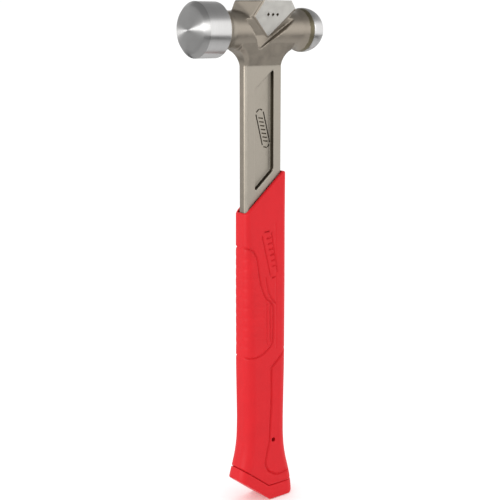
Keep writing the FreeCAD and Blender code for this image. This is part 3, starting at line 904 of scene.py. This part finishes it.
def wall_rings(columns, lows, tops, rows):
    """Give the rings of an outer wall between two sloping rings, with the pressed lines."""
    rings = []
    for row in range(rows + 1):
        ring = []
        for column, low, top in zip(columns, lows, tops):
            up = low[2] + (top[2] - low[2]) * (row / rows)
            section = smooth_section(up)
            across, deep = ring_point(column, section)
            depth = pressed_in(across, deep, up, section[2])
            if depth:
                across, deep = ring_point(column, shrunk(section, depth))
            ring.append((across, deep, up))
        rings.append(ring)
    return rings


def make_grip(finishes):
    """Make the moulded grip with its slanted top, pressed lines and ribs."""
    columns = make_ring_plan(74, 8, 11)
    rings = [lay_ring(columns, grip_foot, smooth_section, inset, lift)
             for inset, lift in GRIP_FOOT_EDGE]
    lows = lay_ring(columns, grip_foot, smooth_section, lift=1.0)
    tops = lay_ring(columns, grip_top, smooth_section, lift=-1.2)
    rings += wall_rings(columns, lows, tops, rows=430)
    rings += [lay_ring(columns, grip_top, smooth_section, inset, -drop)
              for inset, drop in GRIP_TOP_EDGE]
    rings += [lay_ring(columns, grip_top, SOCKET_SECTION, lift=-drop) for drop in (0.0, 2.5)]
    rings.append(lay_ring(columns, lambda across: CORE_TOP + 2.0, SOCKET_SECTION))
    rings.append(lay_ring(columns, lambda across: CORE_TOP, CORE_SECTION))
    rings.append(lay_ring(columns, grip_foot, CORE_SECTION, lift=0.5))
    grip = weave("soft_grip_skin", rings, wrapped=True, tolerance=0.0005)
    bore(grip, *CORD_HOLE, CORD_HOLE_RADIUS, sides=40)
    rubber = make_moulded(
        "grip_rubber", finishes.grip_colour, roughness=0.46, grain_scale=1500.0, grain_depth=0.04)
    coat(grip, [rubber])
    finish_piece(grip, "moulded_grip", "soft_grip", 40.0)
    return grip


def make_butt_cap(finishes):
    """Make the cap below the seam, with its bent underside."""
    columns = make_ring_plan(60, 8, 10)
    rear = smooth_section(4.0)[1]

    def under(across):
        return butt_line(across, rear)

    base = lay_ring(columns, under, smooth_section, inset=CAP_FOOT_EDGE[0][0])
    rings = []
    for scale in (0.0, 0.15, 0.3, 0.45, 0.6, 0.75, 0.88):
        spots = [(CAP_MIDDLE + (x - CAP_MIDDLE) * scale, y * scale) for x, y, up in base]
        rings.append([(x, y, under(x)) for x, y in spots])
    rings += [lay_ring(columns, under, smooth_section, inset, lift)
              for inset, lift in CAP_FOOT_EDGE]
    lows = lay_ring(columns, under, smooth_section, lift=1.0)
    tops = lay_ring(columns, seam_line, smooth_section, lift=-0.9)
    rings += wall_rings(columns, lows, tops, rows=16)
    rings += [lay_ring(columns, seam_line, smooth_section, inset, -drop)
              for inset, drop in CAP_TOP_EDGE]
    rings.append(lay_ring(columns, seam_line, CORE_SECTION))
    rings.append(lay_ring(
        columns, lambda across: CAP_FLOOR + butt_rise(across, BUTT_BEND), CORE_SECTION))
    rings.append([(CAP_MIDDLE, 0.0, CAP_FLOOR)] * len(columns))
    cap = weave("butt_cap_skin", rings, wrapped=False, tolerance=0.001)
    rubber = make_moulded(
        "butt_rubber", finishes.butt_colour, roughness=0.48, grain_scale=1300.0, grain_depth=0.04)
    coat(cap, [rubber])
    finish_piece(cap, "rubber_butt_cap", "butt_cap", 40.0)
    return cap


def dress_core(finishes):
    """Give the moulded core its hard plastic."""
    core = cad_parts["grip_core"]
    plastic = make_moulded(
        "core_plastic", finishes.core_colour, roughness=0.5, grain_scale=900.0, grain_depth=0.02)
    core.data.materials.clear()
    core.data.materials.append(plastic)
    for slot in core.material_slots:
        slot.link = "OBJECT"
        slot.material = plastic
    return core


# The stage, in metres

# Lamps: name, place, aim, width and height, glow, and the rays that don't see the lamp.
LAMPS = (
    ("face_softbox", (-1.16, -0.09, 0.44), (-0.06, 0.0, 0.318), (0.42, 0.3), 20.0, "visible_diffuse"),
    ("front_fill", (-1.2, 0.15, 0.4), (0.0, 0.0, 0.2), (0.8, 0.8), 1.9, "visible_glossy"),
    ("rear_fill", (1.05, -0.4, 0.35), (0.0, 0.0, 0.2), (0.8, 0.8), 0.7, "visible_glossy"),
)
WHITE = (1.0, 1.0, 1.0, 1.0)
SKY_GLOW = 1.04
STUDIO_GLOW = 1.45
# The studio in reflections: (height from 0 straight down to 1 straight up, brightness).
GROUND_AND_TOP = (
    (0.0, 1.0), (0.215, 1.0), (0.25, 0.13), (0.325, 0.13),
    (0.38, 0.2), (0.74, 0.2), (0.82, 0.36), (1.0, 0.4),
)
WALLS = ((0.32, 0.0), (0.375, 1.0), (0.73, 1.0), (0.81, 0.0))
NEAR_WALL_GLOW, FAR_WALL_GLOW = 1.45, 0.75
FLOOR_RADIUS = 60.0
FLOOR_DROP = 0.0002
CAMERA_PLACE = (-0.4672, -0.5540, 0.318)
CAMERA_LOOK = (0.6166, 0.7624, -0.1961)
CAMERA_LENS = 79.2


def facing(direction):
    """Give the turn of a lamp or camera that looks along a direction."""
    return Vector(direction).to_track_quat("-Z", "Y").to_euler()


def add_soft_light(name, spot, aim, size, glow):
    """Hang a soft box aimed at a point, as bright as its glow says."""
    bpy.ops.object.light_add(type="AREA", location=spot)
    lamp = bpy.context.object
    lamp.name = name
    lamp.rotation_euler = facing(Vector(aim) - Vector(spot))
    lamp.data.shape = "RECTANGLE"
    lamp.data.size, lamp.data.size_y = size
    lamp.data.energy = glow * math.pi * size[0] * size[1]
    lamp.visible_camera = False
    return lamp


def make_world():
    """Surround the stage with white, and with a graded studio for reflections."""
    world = bpy.data.worlds.new("studio_white")
    world.use_nodes = True
    world.cycles.sampling_method = "NONE"
    bpy.context.scene.world = world
    sky = Nodes(world.node_tree)
    sky.nodes.clear()
    direction = sky.add("SeparateXYZ", Vector=sky.add("TexCoord").outputs["Generated"])
    height = sky.spread(direction.outputs["Z"], 0.0, 1.0, low=-1.0, high=1.0)
    side = sky.spread(direction.outputs["Y"], NEAR_WALL_GLOW, FAR_WALL_GLOW, low=-0.4, high=0.5)

    def graded(shades):
        ramp = sky.add("ValToRGB", i0=height)
        elements = ramp.color_ramp.elements
        elements.remove(elements[1])
        elements[0].position = shades[0][0]
        elements[0].color = (*[shades[0][1]] * 3, 1.0)
        for position, shade in shades[1:]:
            elements.new(position).color = (shade, shade, shade, 1.0)
        return ramp.outputs["Color"]

    def combined(operation, first, second):
        return sky.add("Math", operation=operation, i0=first, i1=second).outputs[0]

    shade = combined("ADD", graded(GROUND_AND_TOP), combined("MULTIPLY", graded(WALLS), side))
    plain = sky.add("Background", Color=WHITE, Strength=SKY_GLOW)
    studio = sky.add("Background", Strength=combined("MULTIPLY", shade, STUDIO_GLOW))
    glossy = sky.add("LightPath").outputs["Is Glossy Ray"]
    mix = sky.add("MixShader", i0=glossy, i1=plain.outputs[0], i2=studio.outputs[0])
    sky.add("OutputWorld", Surface=mix.outputs[0])


def make_stage(finishes):
    """Lay the floor, hang the lights and set the camera."""
    deselect_all()
    bpy.ops.mesh.primitive_circle_add(
        vertices=96, radius=FLOOR_RADIUS, fill_type="NGON", location=(0, 0, -FLOOR_DROP))
    floor = bpy.context.object
    bpy.ops.object.transform_apply(location=True)
    floor.name = floor.data.name = "pale_floor"
    floor.data.materials.append(make_floor_finish(finishes.floor_colour))
    floor.visible_glossy = False
    make_world()
    for name, spot, aim, size, glow, unseen_by in LAMPS:
        setattr(add_soft_light(name, spot, aim, size, glow), unseen_by, False)
    bpy.ops.object.camera_add(location=CAMERA_PLACE)
    camera = bpy.context.object
    camera.name = "studio_camera"
    camera.rotation_euler = facing(CAMERA_LOOK)
    camera.data.sensor_width = 36.0
    camera.data.lens = CAMERA_LENS
    camera.data.clip_end = 100.0
    scene = bpy.context.scene
    scene.camera = camera
    scene.view_settings.view_transform = "Standard"
    scene.view_settings.look = "None"


# The add-on


class HammerSizes(bpy.types.PropertyGroup):
    """Sizes that a user may change."""

    forging_detail: FloatProperty(
        name="Forging detail", description="Size of the finest cell in the forged surface",
        default=0.5 * MM, min=0.3 * MM, max=2.0 * MM, unit="LENGTH", precision=5)


class HammerFinishes(bpy.types.PropertyGroup):
    """Colours that a user may change."""

    forged_colour: FloatVectorProperty(
        name="Forged steel", description="Colour of the forged head and neck", subtype="COLOR",
        default=(0.232, 0.205, 0.170), min=0.0, max=1.0)
    flat_colour: FloatVectorProperty(
        name="Lighter flat", description="Colour of the broad flats of the neck", subtype="COLOR",
        default=(0.245, 0.222, 0.188), min=0.0, max=1.0)
    # Near-black colour: painted shade on the recess walls, and dark scale in the marks.
    shade_and_scale_colour: FloatVectorProperty(
        name="Painted shade and scale", description="Colour of the painted shade in the recess walls and the dark scale in the marks",
        subtype="COLOR", default=(0.05, 0.042, 0.03), min=0.0, max=1.0)
    # The striking face is the turned steel painted darker, as painted shade.
    face_shade_colour: FloatVectorProperty(
        name="Striking face", description="Colour of the striking face", subtype="COLOR",
        default=(0.30, 0.297, 0.293), min=0.0, max=1.0)
    # Colour of a darker ring just behind the machined ball.
    dark_ring_colour: FloatVectorProperty(
        name="Dark ring", description="Colour of the ring behind the machined ball",
        subtype="COLOR", default=(0.12, 0.105, 0.07), min=0.0, max=1.0)
    turned_colour: FloatVectorProperty(
        name="Turned steel", description="Colour of the machined face, barrel and ball",
        subtype="COLOR", default=(0.46, 0.455, 0.45), min=0.0, max=1.0)
    ground_colour: FloatVectorProperty(
        name="Ground steel", description="Colour of the flat panel on each cheek", subtype="COLOR",
        default=(0.58, 0.565, 0.53), min=0.0, max=1.0)
    grip_colour: FloatVectorProperty(
        name="Grip", description="Colour of the moulded grip", subtype="COLOR",
        default=(0.63, 0.010, 0.016), min=0.0, max=1.0)
    butt_colour: FloatVectorProperty(
        name="Butt cap", description="Colour of the cap on the butt", subtype="COLOR",
        default=(0.64, 0.011, 0.017), min=0.0, max=1.0)
    core_colour: FloatVectorProperty(
        name="Core", description="Colour of the hard core inside the grip", subtype="COLOR",
        default=(0.05, 0.05, 0.055), min=0.0, max=1.0)
    floor_colour: FloatVectorProperty(
        name="Floor", description="Colour of the floor", subtype="COLOR",
        default=(0.97, 0.97, 0.97), min=0.0, max=1.0)


class HAMMER_OT_forging(bpy.types.Operator):
    """Make the forged head, neck and tang"""

    bl_idname = "hammer.forging"
    bl_label = "Forging"

    def execute(self, context):
        make_forging(context.scene.hammer_sizes, context.scene.hammer_finishes)
        return {"FINISHED"}


class HAMMER_OT_grip(bpy.types.Operator):
    """Mould the grip"""

    bl_idname = "hammer.grip"
    bl_label = "Grip"

    def execute(self, context):
        make_grip(context.scene.hammer_finishes)
        return {"FINISHED"}


class HAMMER_OT_butt_cap(bpy.types.Operator):
    """Mould the cap on the butt"""

    bl_idname = "hammer.butt_cap"
    bl_label = "Butt cap"

    def execute(self, context):
        make_butt_cap(context.scene.hammer_finishes)
        return {"FINISHED"}


class HAMMER_OT_core(bpy.types.Operator):
    """Give the core inside the grip its plastic"""

    bl_idname = "hammer.core"
    bl_label = "Core finish"

    def execute(self, context):
        dress_core(context.scene.hammer_finishes)
        return {"FINISHED"}


class HAMMER_OT_stage(bpy.types.Operator):
    """Lay the floor, hang the lights and set the camera"""

    bl_idname = "hammer.stage"
    bl_label = "Stage"

    def execute(self, context):
        make_stage(context.scene.hammer_finishes)
        return {"FINISHED"}


class HAMMER_PT_panel(bpy.types.Panel):
    """Lists the hammer's pieces, sizes and colours."""

    bl_idname = "HAMMER_PT_panel"
    bl_label = "Ball Peen Hammer"
    bl_space_type = "VIEW_3D"
    bl_region_type = "UI"
    bl_category = "Hammer"

    def draw(self, context):
        for group in (context.scene.hammer_sizes, context.scene.hammer_finishes):
            for name in group.bl_rna.properties.keys():
                if name not in ("rna_type", "name"):
                    self.layout.prop(group, name)
        for operator in STEPS:
            self.layout.operator(operator.bl_idname)


STEPS = (HAMMER_OT_forging, HAMMER_OT_grip, HAMMER_OT_butt_cap, HAMMER_OT_core, HAMMER_OT_stage)
CLASSES = (HammerSizes, HammerFinishes) + STEPS + (HAMMER_PT_panel,)


def register():
    """Register the add-on's classes and properties."""
    for item in CLASSES:
        bpy.utils.register_class(item)
    bpy.types.Scene.hammer_sizes = PointerProperty(type=HammerSizes)
    bpy.types.Scene.hammer_finishes = PointerProperty(type=HammerFinishes)


def unregister():
    """Remove the add-on's classes and properties."""
    del bpy.types.Scene.hammer_finishes
    del bpy.types.Scene.hammer_sizes
    for item in reversed(CLASSES):
        bpy.utils.unregister_class(item)


def main():
    """Build the hammer and its stage."""
    register()
    bpy.ops.hammer.forging()
    bpy.ops.hammer.grip()
    bpy.ops.hammer.butt_cap()
    bpy.ops.hammer.core()
    bpy.ops.hammer.stage()


if __name__ == "__main__":
    main()
